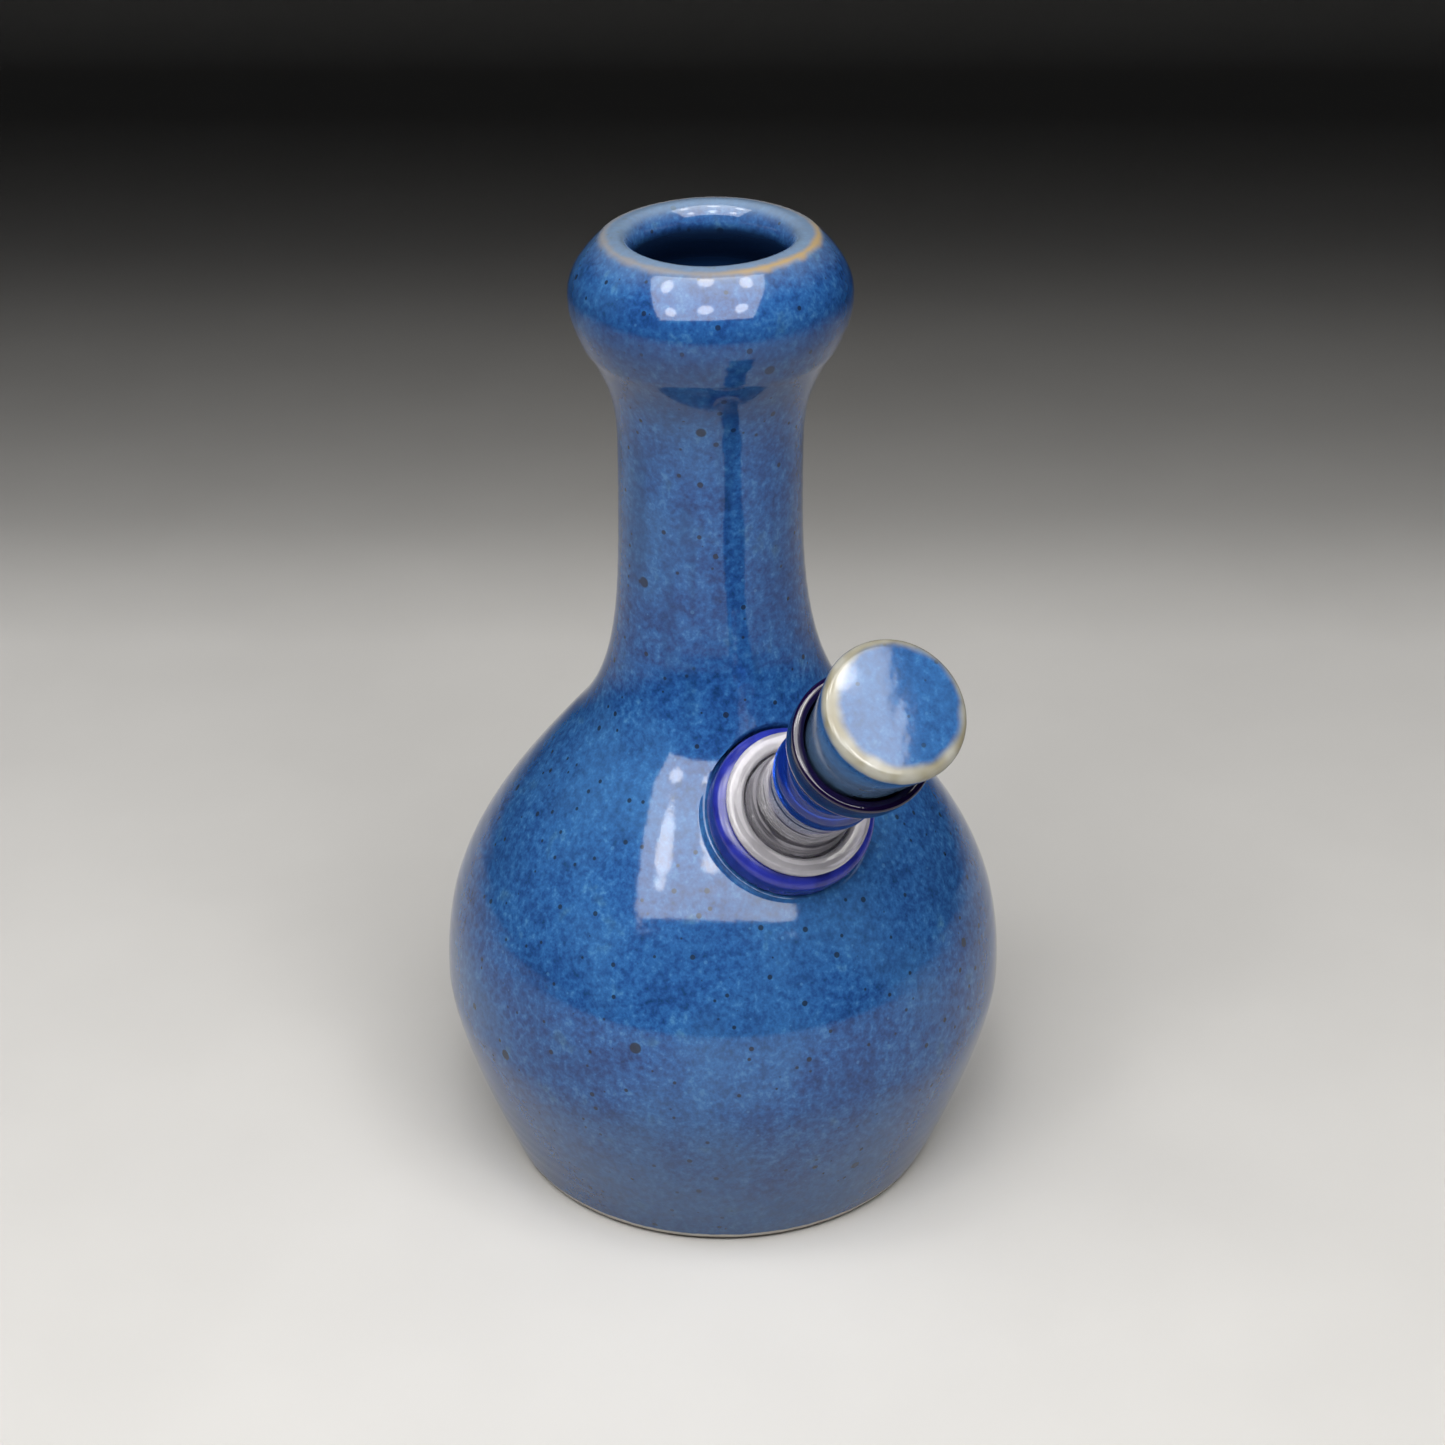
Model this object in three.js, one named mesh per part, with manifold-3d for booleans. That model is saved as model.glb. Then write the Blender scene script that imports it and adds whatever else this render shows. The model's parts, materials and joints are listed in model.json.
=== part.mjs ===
// Tabletop stoneware water pipe with a removable glass slide.
//
// A thrown, glazed bottle stands on a flat foot. Its shoulder carries a port with a rubber grommet.
// A glass downstem hangs in the grommet by its rim and reaches into the chamber. A glass slide with a
// small bowl stands in the downstem's ground socket, and a glazed ceramic stopper closes the bowl.
//
// Millimetres, +Z up. The origin is the centre of the flat foot, and the stem leans toward +X.
// Bottle outlines are (radius, height). Stem outlines are (radius, distance along the stem axis),
// and the distance is counted outward from the point where the stem axis meets the bottle's axis.

import * as THREE from 'three';
import { mergeVertices } from 'three/addons/utils/BufferGeometryUtils.js';
import Module from 'manifold-3d';

const wasm = await Module();
wasm.setup();

// ---- Driving dimensions ----

const GAP = 0.3;                      // clearance between pieces that rest on each other

// Bottle
const HEIGHT = 178;
const FOOT_R = 39.9;
const FOOT_BEVEL = 1.5;
const FOOT_RISE_DEG = 65.5;           // slope of the wall where it leaves the foot
const BELLY_R = 50.9;
const BELLY_Z = 36.4;
const SHOULDER_R = 26;
const SHOULDER_Z = 87.2;
const SHOULDER_RISE_DEG = 131;        // slope of the shoulder where it is steepest
const NECK_R = 15.85;
const NECK_Z = 140.8;
const BULB_R = 23.8;
const BULB_Z = 167.4;
const LIP_R = 17.8;                   // radius of the raised ridge that rings the mouth
const LIP_RIDGE_R = 0.9;
const LIP_RISE_DEG = 137;
const LIP_WIDTH = 2.4;                // steep part of the lip, between its top and the throat
const LIP_DROP = 2.0;                 // depth of the steep part below the ridge
const THROAT_R = 13.2;
const THROAT_DROP = 6.5;
const WALL = 4.6;
const BULB_WALL = 6;
const FLOOR = 6.5;
const NECK_LEAN = 2;                  // sideways drift of the hand-thrown neck
const NECK_LEAN_DEG = -113;
const LEAN_START_Z = 58;
const LEAN_END_Z = 128;

// Stem axis
const STEM_Z = 52.9;                  // height at which the stem axis meets the bottle's axis
const STEM_TILT_DEG = 45.6;           // angle of the stem above the horizontal

// Port collar, raised from the shoulder around the hole
const PORT_R = 12.9;
const COLLAR_R = 15.2;
const COLLAR_IN = 34.4;
const COLLAR_TOP = 40.4;
const COLLAR_ROUND = 0.6;
const SEAT_R = 14.8;                  // flat seat cut around the hole where the shoulder rises past it

// Rubber grommet
const GROMMET_BORE_R = 11.5;
const GROMMET_FLANGE_R = 14.5;
const GROMMET_BACK_R = 13.9;
const GROMMET_FLANGE = 5.4;
const GROMMET_EDGE = 3.6;             // height of the flange's widest line above its seat
const GROMMET_TOP_R = 12.4;
const GROMMET_BACK = 2.3;
const GROMMET_ROUND = 0.9;

// Downstem: a socket for a standard 18.8 mm ground joint, welded onto a plain tube
const JOINT_R = 9.4;                  // wide end of the 18.8 mm joint
const JOINT_TAPER = 0.05;             // change of radius per millimetre of length
const JOINT_LENGTH = 22.4;
const RIM_R = 12.85;
const RIM_HEIGHT = 1.8;
const RIM_ROUND = 0.7;
const SOCKET_R = 11.2;
const SOCKET_BODY_END = 24.5;
const TUBE_R = 6;
const TUBE_BORE_R = 4.3;
const TUBE_TOP = 15.7;
const TUBE_END = -38;
const SLIT_COUNT = 6;
const SLIT_WIDTH = 1.3;
const SLIT_HEIGHT = 12;

// Slide: ground joint, blue bead and neck, cobalt bowl
const SLIDE_TUBE_R = 8.7;
const SLIDE_BORE_R = 6.6;
const SLIDE_TUBE_END = 61.2;
const BEAD_R = 9.35;
const BEAD_LENGTH = 5;
const WAIST_R = 8.2;
const WAIST_AT = 68.6;
const NECK_BORE_R = 4;
const NECK_END_R = 9.2;
const NECK_END = 72.6;
const BOWL_LIP_R = 12;
const BOWL_MOUTH_R = 10.4;
const BOWL_TOP = 82.8;
const BOWL_SEAT_R = 9.6;              // inside radius where the stopper's plug stops
const BOWL_SEAT = 79.2;
const BOWL_FLOOR = 74.4;
const BOWL_HOLE_R = 2.5;

// Ceramic stopper
const PLUG_R = 9.2;
const PLUG_BOTTOM = 79.2;
const CAP_R = 11.9;
const CAP_EDGE = 98.9;
const CAP_ROUND = 1.5;
const CAP_DOME = 0.5;

// Smoothness
const BOTTLE_SEGMENTS = 56;
const STEM_SEGMENTS = 32;

// ---- Outlines ----

const point = (r, z) => new THREE.Vector2(r, z);
const heading = (deg) => point(Math.cos(THREE.MathUtils.degToRad(deg)), Math.sin(THREE.MathUtils.degToRad(deg)));
const UP = point(0, 1);

// Points of a smooth bend that leaves one point along one direction and reaches another along a second.
function bend(from, leaving, reach, to, arriving, approach, steps) {
  const handleOut = from.clone().addScaledVector(leaving, reach);
  const handleIn = to.clone().addScaledVector(arriving, -approach);
  return new THREE.CubicBezierCurve(from, handleOut, handleIn, to).getPoints(steps);
}

// Points of a circular arc, angles in degrees.
function arc(centreR, centreZ, radius, fromDeg, toDeg, steps) {
  const points = [];
  for (let i = 0; i <= steps; i += 1) {
    const turn = THREE.MathUtils.lerp(fromDeg, toDeg, i / steps);
    points.push(point(centreR, centreZ).addScaledVector(heading(turn), radius));
  }
  return points;
}

// ---- Solids ----

// Turns an outline about +Z. It starts and ends on the axis, or is closed onto itself.
function turned(outline, segments) {
  const distinct = outline.filter((p, i) => i === 0 || p.distanceTo(outline[i - 1]) > 1e-4);
  const onAxis = distinct[0].x === 0;
  const points = onAxis ? distinct : [...distinct, distinct[0]];
  const geometry = new THREE.LatheGeometry(points, segments).rotateX(Math.PI / 2);
  geometry.deleteAttribute('normal');
  geometry.deleteAttribute('uv');
  return geometry;
}

function toSolid(geometry) {
  const merged = mergeVertices(geometry, 1e-4);
  const corners = merged.index.array;
  const kept = [];
  for (let i = 0; i < corners.length; i += 3) {
    const [a, b, c] = corners.slice(i, i + 3);
    if (a !== b && b !== c && c !== a) kept.push(a, b, c);
  }
  const triVerts = new Uint32Array(kept);
  return new wasm.Manifold(new wasm.Mesh({ numProp: 3, vertProperties: merged.attributes.position.array, triVerts }));
}

function toGeometry(solid) {
  const { vertProperties, triVerts } = solid.getMesh();
  const geometry = new THREE.BufferGeometry();
  geometry.setAttribute('position', new THREE.BufferAttribute(vertProperties, 3));
  geometry.setIndex(new THREE.BufferAttribute(triVerts, 1));
  geometry.computeVertexNormals();
  return geometry;
}

// Moves a shape from the stem's own axis to its place in the bottle.
const stemPlace = new THREE.Matrix4()
  .makeRotationY(Math.PI / 2 - THREE.MathUtils.degToRad(STEM_TILT_DEG))
  .setPosition(0, 0, STEM_Z);

// ---- Bottle ----

function bottleOutline() {
  const foot = point(FOOT_R, FOOT_BEVEL);
  const belly = point(BELLY_R, BELLY_Z);
  const shoulder = point(SHOULDER_R, SHOULDER_Z);
  const shoulderRise = heading(SHOULDER_RISE_DEG);
  const neck = point(NECK_R, NECK_Z);
  const bulb = point(BULB_R, BULB_Z);
  const lipRise = heading(LIP_RISE_DEG);
  const ridge = arc(LIP_R, HEIGHT - LIP_RIDGE_R, LIP_RIDGE_R, LIP_RISE_DEG - 90, 125, 3);
  const outside = [
    point(0, 0),
    point(FOOT_R - FOOT_BEVEL, 0),
    ...bend(foot, heading(FOOT_RISE_DEG), 8, belly, UP, 8, 5),
    ...bend(belly, UP, 18.5, shoulder, shoulderRise, 29.4, 8),
    ...bend(shoulder, shoulderRise, 15, neck, UP, 25.5, 7),
    ...bend(neck, UP, 16, bulb, UP, 9, 6),
    ...bend(bulb, UP, 4, ridge[0], lipRise, 3.9, 5),
    ...ridge,
  ];
  const inward = heading(SHOULDER_RISE_DEG + 90);
  const innerFloor = point(BELLY_R * 0.62, FLOOR);
  const innerBelly = point(BELLY_R - WALL, BELLY_Z);
  const innerShoulder = shoulder.clone().addScaledVector(inward, WALL);
  const innerNeck = point(NECK_R - WALL, NECK_Z);
  const innerBulb = point(BULB_R - BULB_WALL, BULB_Z - 2);
  const lipSlope = point(THROAT_R + LIP_WIDTH, HEIGHT - LIP_DROP);
  const throat = point(THROAT_R, HEIGHT - THROAT_DROP);
  const down = UP.clone().negate();
  const inside = [
    ...bend(lipSlope, heading(240), 1.3, throat, down, 1.5, 3),
    ...bend(throat, down, 4, innerBulb, down, 3, 3),
    ...bend(innerBulb, down, 8, innerNeck, down, 12, 4),
    ...bend(innerNeck, down, 26, innerShoulder, shoulderRise.clone().negate(), 14, 5),
    ...bend(innerShoulder, shoulderRise.clone().negate(), 26, innerBelly, down, 17, 5),
    ...bend(innerBelly, down, 16, innerFloor, heading(180), 11, 5),
    point(0, FLOOR),
  ];
  return [...outside, ...inside];
}

// The wheel-thrown neck drifts a little sideways above the shoulder.
function leanNeck(geometry) {
  const place = geometry.attributes.position;
  const drift = heading(NECK_LEAN_DEG).multiplyScalar(NECK_LEAN);
  for (let i = 0; i < place.count; i += 1) {
    const share = THREE.MathUtils.smoothstep(place.getZ(i), LEAN_START_Z, LEAN_END_Z);
    place.setX(i, place.getX(i) + share * drift.x);
    place.setY(i, place.getY(i) + share * drift.y);
  }
  return geometry;
}

function collarOutline() {
  const top = COLLAR_TOP - COLLAR_ROUND;
  return [
    point(0, COLLAR_IN),
    point(COLLAR_R, COLLAR_IN),
    ...arc(COLLAR_R - COLLAR_ROUND, top, COLLAR_ROUND, 0, 90, 3),
    point(0, COLLAR_TOP),
  ];
}

function vesselBody() {
  const bottle = toSolid(leanNeck(turned(bottleOutline(), BOTTLE_SEGMENTS)));
  const collar = toSolid(turned(collarOutline(), STEM_SEGMENTS).applyMatrix4(stemPlace));
  const holeOutline = [
    point(0, COLLAR_IN - 20),
    point(PORT_R, COLLAR_IN - 20),
    point(PORT_R, COLLAR_TOP),
    point(SEAT_R, COLLAR_TOP),
    point(SEAT_R, COLLAR_TOP + 10),
    point(0, COLLAR_TOP + 10),
  ];
  const hole = toSolid(turned(holeOutline, STEM_SEGMENTS).applyMatrix4(stemPlace));
  return toGeometry(bottle.add(collar).subtract(hole));
}

// ---- Port ----

function portGrommet() {
  const seat = COLLAR_TOP + GAP;
  const top = seat + GROMMET_FLANGE;
  const back = COLLAR_IN - GAP;
  const bottom = back - GROMMET_BACK;
  return turned([
    point(GROMMET_BORE_R, bottom),
    ...arc(GROMMET_BACK_R - GROMMET_ROUND, bottom + GROMMET_ROUND, GROMMET_ROUND, -90, 0, 3),
    point(GROMMET_BACK_R, back),
    point(PORT_R - GAP, back),
    point(PORT_R - GAP, seat),
    point(GROMMET_FLANGE_R, seat),
    ...bend(point(GROMMET_FLANGE_R, seat + GROMMET_EDGE), UP, 1.2, point(GROMMET_TOP_R, top), heading(168), 0.9, 5),
    point(GROMMET_BORE_R, top),
  ], STEM_SEGMENTS);
}

// ---- Downstem ----

const RIM_SEAT = COLLAR_TOP + GROMMET_FLANGE + 2 * GAP;
const RIM_TOP = RIM_SEAT + RIM_HEIGHT;
const JOINT_TOP = RIM_TOP - 1.2;
const JOINT_BOTTOM = JOINT_TOP - JOINT_LENGTH;

// Radius of the male ground joint at a distance along the stem.
const jointRadius = (along) => JOINT_R - JOINT_TAPER * (JOINT_TOP - along);

function downstemSocket() {
  const weld = TUBE_TOP + GAP;
  const landing = JOINT_BOTTOM - 1;
  return turned([
    point(TUBE_R, weld),
    ...bend(point(TUBE_R, weld + 1), UP, 3, point(SOCKET_R, SOCKET_BODY_END), UP, 3, 5),
    point(SOCKET_R, RIM_SEAT),
    ...arc(RIM_R - RIM_ROUND, RIM_SEAT + RIM_ROUND, RIM_ROUND, -90, 0, 3),
    ...arc(RIM_R - RIM_ROUND, RIM_TOP - RIM_ROUND, RIM_ROUND, 0, 90, 3),
    point(JOINT_R + GAP + RIM_ROUND, RIM_TOP),
    point(JOINT_R + GAP, JOINT_TOP),
    point(jointRadius(landing) + GAP, landing),
    point(TUBE_BORE_R, weld + 2),
    point(TUBE_BORE_R, weld),
  ], STEM_SEGMENTS);
}

// The tube's far end is slit into short fingers that break the smoke into small bubbles.
function downstemTube() {
  const tube = toSolid(turned([
    point(TUBE_BORE_R, TUBE_END),
    point(TUBE_R, TUBE_END),
    point(TUBE_R, TUBE_TOP),
    point(TUBE_BORE_R, TUBE_TOP),
  ], STEM_SEGMENTS));
  const slit = new THREE.BoxGeometry(2 * (TUBE_R + 1), SLIT_WIDTH, 2 * SLIT_HEIGHT);
  slit.deleteAttribute('normal');
  slit.deleteAttribute('uv');
  slit.translate(0, 0, TUBE_END);
  let cut = tube;
  for (let i = 0; i < SLIT_COUNT / 2; i += 1) {
    const turnedSlit = slit.clone().rotateZ(2 * Math.PI * i / SLIT_COUNT);
    cut = cut.subtract(toSolid(turnedSlit));
  }
  return toGeometry(cut);
}

// ---- Slide ----

function slideJoint() {
  const bottomRadius = jointRadius(JOINT_BOTTOM);
  return turned([
    point(SLIDE_BORE_R, JOINT_BOTTOM),
    point(bottomRadius - 0.5, JOINT_BOTTOM),
    point(jointRadius(JOINT_BOTTOM + 0.5), JOINT_BOTTOM + 0.5),
    point(JOINT_R, JOINT_TOP),
    ...bend(point(JOINT_R - 0.1, JOINT_TOP + 1.4), UP, 1, point(SLIDE_TUBE_R, JOINT_TOP + 4.5), UP, 1, 4),
    point(SLIDE_TUBE_R, SLIDE_TUBE_END),
    point(SLIDE_BORE_R, SLIDE_TUBE_END),
  ], STEM_SEGMENTS);
}

function slideNeck() {
  const start = SLIDE_TUBE_END + GAP;
  const beadEnd = start + BEAD_LENGTH;
  const waist = point(WAIST_R, WAIST_AT);
  return turned([
    point(SLIDE_BORE_R, start),
    point(SLIDE_TUBE_R - 0.4, start),
    ...bend(point(SLIDE_TUBE_R, start + 0.5), heading(40), 1.3, point(BEAD_R, start + BEAD_LENGTH / 2), UP, 1, 3),
    ...bend(point(BEAD_R, start + BEAD_LENGTH / 2), UP, 1, point(BEAD_R - 0.5, beadEnd), heading(125), 1, 3),
    ...bend(point(BEAD_R - 0.5, beadEnd), heading(125), 0.9, waist, UP, 1, 3),
    ...bend(waist, UP, 1.5, point(NECK_END_R, NECK_END), heading(60), 1.5, 4),
    point(NECK_BORE_R, NECK_END),
    ...bend(point(NECK_BORE_R, NECK_END - 2), heading(-90), 3, point(SLIDE_BORE_R, start + 2), heading(-90), 2, 4),
  ], STEM_SEGMENTS);
}

function slideBowl() {
  const start = NECK_END + GAP;
  const lipRound = (BOWL_LIP_R - BOWL_MOUTH_R) / 2;
  const lipCentre = BOWL_TOP - lipRound;
  return turned([
    point(BOWL_HOLE_R, start),
    point(NECK_END_R, start),
    ...bend(point(NECK_END_R + 0.2, start + 0.3), heading(60), 4, point(BOWL_LIP_R, lipCentre), UP, 4.5, 6),
    ...arc(BOWL_LIP_R - lipRound, lipCentre, lipRound, 15, 180, 6),
    point(BOWL_SEAT_R, BOWL_SEAT),
    ...bend(point(BOWL_SEAT_R - 0.3, BOWL_SEAT - 1), heading(-100), 2, point(BOWL_HOLE_R, BOWL_FLOOR), heading(190), 4, 5),
  ], STEM_SEGMENTS);
}

// ---- Stopper ----

function stopper() {
  const edge = point(CAP_R, CAP_EDGE - CAP_ROUND);
  const faceR = CAP_R - CAP_ROUND;
  const flare = heading(81);
  return turned([
    point(0, PLUG_BOTTOM),
    point(PLUG_R - 0.8, PLUG_BOTTOM),
    ...bend(point(PLUG_R, PLUG_BOTTOM + 0.8), flare, 5, edge, flare, 5, 5),
    ...arc(faceR, CAP_EDGE - CAP_ROUND, CAP_ROUND, 10, 80, 4),
    ...bend(point(faceR, CAP_EDGE), heading(180 - 6), 3, point(0, CAP_EDGE + CAP_DOME), heading(180), 4, 4),
  ], STEM_SEGMENTS);
}

// ---- Assembly ----

function piece(name, geometry, color, roughness, metalness = 0) {
  const material = new THREE.MeshStandardMaterial({ color, roughness, metalness });
  const mesh = new THREE.Mesh(geometry, material);
  mesh.name = name;
  return mesh;
}

const stem = new THREE.Group();
stem.applyMatrix4(stemPlace);
stem.add(
  piece('port_grommet', portGrommet(), 0x2b37a8, 0.45),
  piece('downstem_socket', downstemSocket(), 0xd4d8e4, 0.08),
  piece('downstem_tube', downstemTube(), 0xd4d8e4, 0.08),
  piece('slide_joint', slideJoint(), 0xc9cedd, 0.3),
  piece('slide_neck', slideNeck(), 0x1f49a8, 0.08),
  piece('slide_bowl', slideBowl(), 0x100c38, 0.06),
  piece('stopper', stopper(), 0x4f79aa, 0.15),
);

const waterPipe = new THREE.Group();
waterPipe.add(piece('vessel_body', vesselBody(), 0x34598c, 0.18), stem);

export default waterPipe;
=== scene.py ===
"""Blender scene of the stoneware water pipe: fine meshes, glaze, glass and rubber on the CAD frame.

Lengths in the constants are millimetres, and metres in the section on light. Meshes are made in
metres, in the frame of the CAD model: origin at the centre of the foot, +Z up, stem toward +X.
"""
import json
import math

import bpy
import numpy as np
from mathutils import Matrix, Vector


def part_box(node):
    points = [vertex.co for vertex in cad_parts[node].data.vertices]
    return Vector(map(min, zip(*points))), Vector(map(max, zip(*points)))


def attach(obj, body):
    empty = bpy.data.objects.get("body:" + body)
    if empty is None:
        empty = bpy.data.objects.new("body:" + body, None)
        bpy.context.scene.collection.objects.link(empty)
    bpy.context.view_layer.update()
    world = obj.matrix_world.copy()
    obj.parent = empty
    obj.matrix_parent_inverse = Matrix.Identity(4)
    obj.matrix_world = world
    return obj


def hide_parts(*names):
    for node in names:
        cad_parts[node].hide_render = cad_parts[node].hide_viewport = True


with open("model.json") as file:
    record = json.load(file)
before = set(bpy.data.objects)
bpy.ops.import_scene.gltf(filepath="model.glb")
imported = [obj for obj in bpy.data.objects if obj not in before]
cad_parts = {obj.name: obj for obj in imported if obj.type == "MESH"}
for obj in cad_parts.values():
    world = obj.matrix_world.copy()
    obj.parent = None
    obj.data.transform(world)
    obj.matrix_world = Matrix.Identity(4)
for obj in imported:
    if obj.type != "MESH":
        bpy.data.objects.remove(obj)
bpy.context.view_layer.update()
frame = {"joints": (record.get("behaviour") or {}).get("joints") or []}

MM = 0.001

# ---- Bottle, as in the CAD model but for a finer lip. A pair is a radius and a height ----
HEIGHT = 178.0
FOOT_R = 39.9
FOOT_BEVEL = 1.5
FOOT_RISE = 65.5               # slope of the wall where it leaves the foot, in degrees
BELLY = (50.9, 36.4)
SHOULDER = (26.0, 87.2)
SHOULDER_RISE = 131.0          # slope of the shoulder at its steadiest point, in degrees
NECK = (15.85, 140.8)
GARLIC = (23.8, 167.4)         # widest line of the mouth's bulge
LIP_R = 17.8                   # centre of the rounding of the ridge that rings the mouth
LIP_RIDGE_R = 0.6
LIP_RIDGE_DROP = 0.3           # how far the ridge lies below the crest
CREST_R = 15.6                 # highest line of the lip
LIP_RISE = 137.0               # slope of the bulge where it meets the ridge, in degrees
THROAT_R = 12.9
THROAT_DROP = 4.4
WALL = 4.6
GARLIC_WALL = 6.0
FLOOR = 6.5
NECK_LEAN = 2.0                # how far the neck drifts sideways
NECK_LEAN_DEG = -113.0
LEAN_START_Z = 58.0
LEAN_END_Z = 128.0

# ---- Port ----
PORT_R = 12.9
COLLAR_R = 15.2
COLLAR_IN = 34.4               # inner face of the port's boss, along the stem axis
COLLAR_TOP = 40.4              # outer face of the collar, along the stem axis
COLLAR_ROUND = 0.6
SEAT_R = 14.8                  # flat seat cut where the shoulder rises past the collar
PORT_PATCH_R = 18.6            # beyond this distance from the stem axis the shoulder is undisturbed

# ---- Stem pieces: distances along the stem axis, radii from it ----
GAP = 0.3
GROMMET_BORE_R = 11.5
GROMMET_FLANGE_R = 14.5
GROMMET_BACK_R = 13.9
GROMMET_FLANGE = 5.4
GROMMET_EDGE = 3.6             # height of the flange's widest line above its seat
GROMMET_TOP_R = 12.4
GROMMET_BACK = 2.3
JOINT_R = 9.4
JOINT_TAPER = 0.05
JOINT_LENGTH = 22.4
RIM_R = 12.85
RIM_HEIGHT = 1.8
SOCKET_R = 11.2
SOCKET_BODY_END = 24.5
TUBE_R = 6.0
TUBE_BORE_R = 4.3
TUBE_TOP = 15.7
TUBE_END = -38.0
SLIT_COUNT = 6
SLIT_WIDTH = 1.3
SLIT_HEIGHT = 12.0
SLIDE_TUBE_R = 8.7
SLIDE_BORE_R = 6.6
SLIDE_TUBE_END = 61.2
BEAD_R = 9.35
BEAD_LENGTH = 5.0
WAIST_R = 8.2
WAIST_AT = 68.6
NECK_BORE_R = 4.0
NECK_END_R = 9.2
NECK_END = 72.6
BOWL_LIP_R = 12.0
BOWL_MOUTH_R = 10.1
BOWL_LIP_CROWN = 0.55          # how far the lip's rounded top stands up
BOWL_TOP = 82.8
BOWL_SEAT_R = 9.6
BOWL_SEAT = 79.2
BOWL_FLOOR = 74.4
BOWL_HOLE_R = 2.5
PLUG_R = 9.2
PLUG_BOTTOM = 79.2
CAP_R = 11.9
CAP_EDGE = 98.9
CAP_ROUND = 1.5
CAP_DOME = 0.5

# ---- Mesh fineness ----
BOTTLE_COLUMNS = 192
BOTTLE_ROW = 0.8
LIP_ROW = 0.5
HUB_R = 6                      # smallest ring of the foot and of the floor inside
STEM_COLUMNS = 128
WINDOW_ROWS = 60               # rows of the bottle's grid that the port patch takes the place of
WINDOW_COLUMNS = 64
WINDOW_FOOT_Z = 63             # lowest row of the window outside
WINDOW_HEAD_Z = 98             # highest row of the window inside
PATCH_STEP = 0.28              # spacing of the patch's rings near the port
PATCH_TURN = 0.25              # share of the window's own turns that those rings take on
SEARCH = (14.0, 62.0)          # stretch of the stem axis in which the wall lies
SEARCH_STEPS = 34
BORE_LEVELS = 10               # rings through the port's wall

# ---- Glaze: directions in which it changes, and heights between which it does ----
STRAW_DEG = 35.0               # the mouth's ridge is barest toward here
CREAM_DEG = -59.0              # the cap's cream edge is widest toward here, about the stem axis
# heights of the painted shade under the mouth's bulge and toward the foot
BULGE_SHADE_START = (148, 156)
BULGE_SHADE_END = (165, 176)
UPPER_BOTTLE = (84, 104)
FOOT_SHADE_HEIGHTS = (4, 46)
BELLY_START = (45, 65)
BELLY_END = (80, 100)
NECK_RUNS_START = (88, 105)
NECK_RUNS_END = (150, 162)
BARE_TOP = (2.0, 2.4)
# top of the painted contact shade along the foot's lowest edge
CONTACT_SHADE_TOP = (1.2, 1.6)

# ---- View: the photograph's viewing angle ----
CAMERA_AZIMUTH = 66.9
CAMERA_ELEVATION = 29.24
CAMERA_DISTANCE = 572.0
CAMERA_AIM_Z = 85.5
CAMERA_LENS = 79.72

# ---- Light: a tilted softbox before and above the object. In metres, and a pair is toward the
# camera, then up ----
PANEL_LOWER = (0.53, 0.45)
PANEL_UPPER = (0.10, 0.77)
PANEL_LEFT = -0.46
PANEL_RIGHT = 0.38
PANEL_ENERGY = 7.8
BULB_SIZE = 0.105
BULB_ENERGY = 0.24
BULB_ACROSS = 0.31             # spacing of the bulbs, as shares of the panel's width and length
BULB_ALONG = 0.25
BULB_BEFORE = 0.004
FLAG = (-0.12, 0.19, 0.54)     # place of the flag behind the bottle, its bottom and its top
LIGHT_COLOUR = (1.0, 0.985, 0.955)
ROOM = (0.012, 0.012, 0.012)


# ======================================================================================
# Outlines
# ======================================================================================

def heading(degrees):
    """The flat direction at an angle."""
    return np.array([math.cos(math.radians(degrees)), math.sin(math.radians(degrees))])


UP = heading(90)
DOWN = heading(-90)


def bend(start, leaving, reach, end, arriving, approach, steps):
    """Points of a cubic curve that leaves start along one direction and reaches end along another."""
    p0 = np.array(start, float)
    p3 = np.array(end, float)
    p1 = p0 + leaving * reach
    p2 = p3 - arriving * approach
    t = np.linspace(0, 1, steps + 1)[:, None]
    return (1 - t) ** 3 * p0 + 3 * t * (1 - t) ** 2 * p1 + 3 * t * t * (1 - t) * p2 + t ** 3 * p3


def arc(centre, radius, start, end, steps):
    """Points of a round arc between two angles in degrees."""
    turns = np.radians(np.linspace(start, end, steps + 1))
    return np.array(centre) + radius * np.column_stack([np.cos(turns), np.sin(turns)])


def outline(*parts):
    """Joins points and stretches of points into one outline, without doubled points."""
    points = np.vstack([np.atleast_2d(np.array(p, float)) for p in parts])
    steps = np.linalg.norm(np.diff(points, axis=0), axis=1)
    return points[np.r_[True, steps > 1e-4]]


def evenly(points, spacing):
    """The same outline with points at an even spacing along it, ends kept."""
    steps = np.linalg.norm(np.diff(points, axis=0), axis=1)
    along = np.r_[0, np.cumsum(steps)]
    count = max(2, int(round(along[-1] / spacing)) + 1)
    places = np.linspace(0, along[-1], count)
    return np.column_stack([np.interp(places, along, points[:, k]) for k in (0, 1)])


def smoothstep(x, low, high):
    t = np.clip((x - low) / (high - low), 0, 1)
    return t * t * (3 - 2 * t)


# ======================================================================================
# Meshes
# ======================================================================================

STEM_AXIS = Vector(frame["joints"][0]["axis"]).normalized()


def stem_origin():
    """Where the stem axis meets the bottle's axis, from the place of the downstem's tube."""
    low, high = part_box("downstem_tube")
    centre = (low + high) / 2
    return centre - STEM_AXIS * (centre.x / STEM_AXIS.x)


STEM_ORIGIN = stem_origin()
STEM_TILT = Vector((0, 0, 1)).rotation_difference(STEM_AXIS)
STEM_PLACE = Matrix.Translation(STEM_ORIGIN) @ STEM_TILT.to_matrix().to_4x4()


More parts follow.
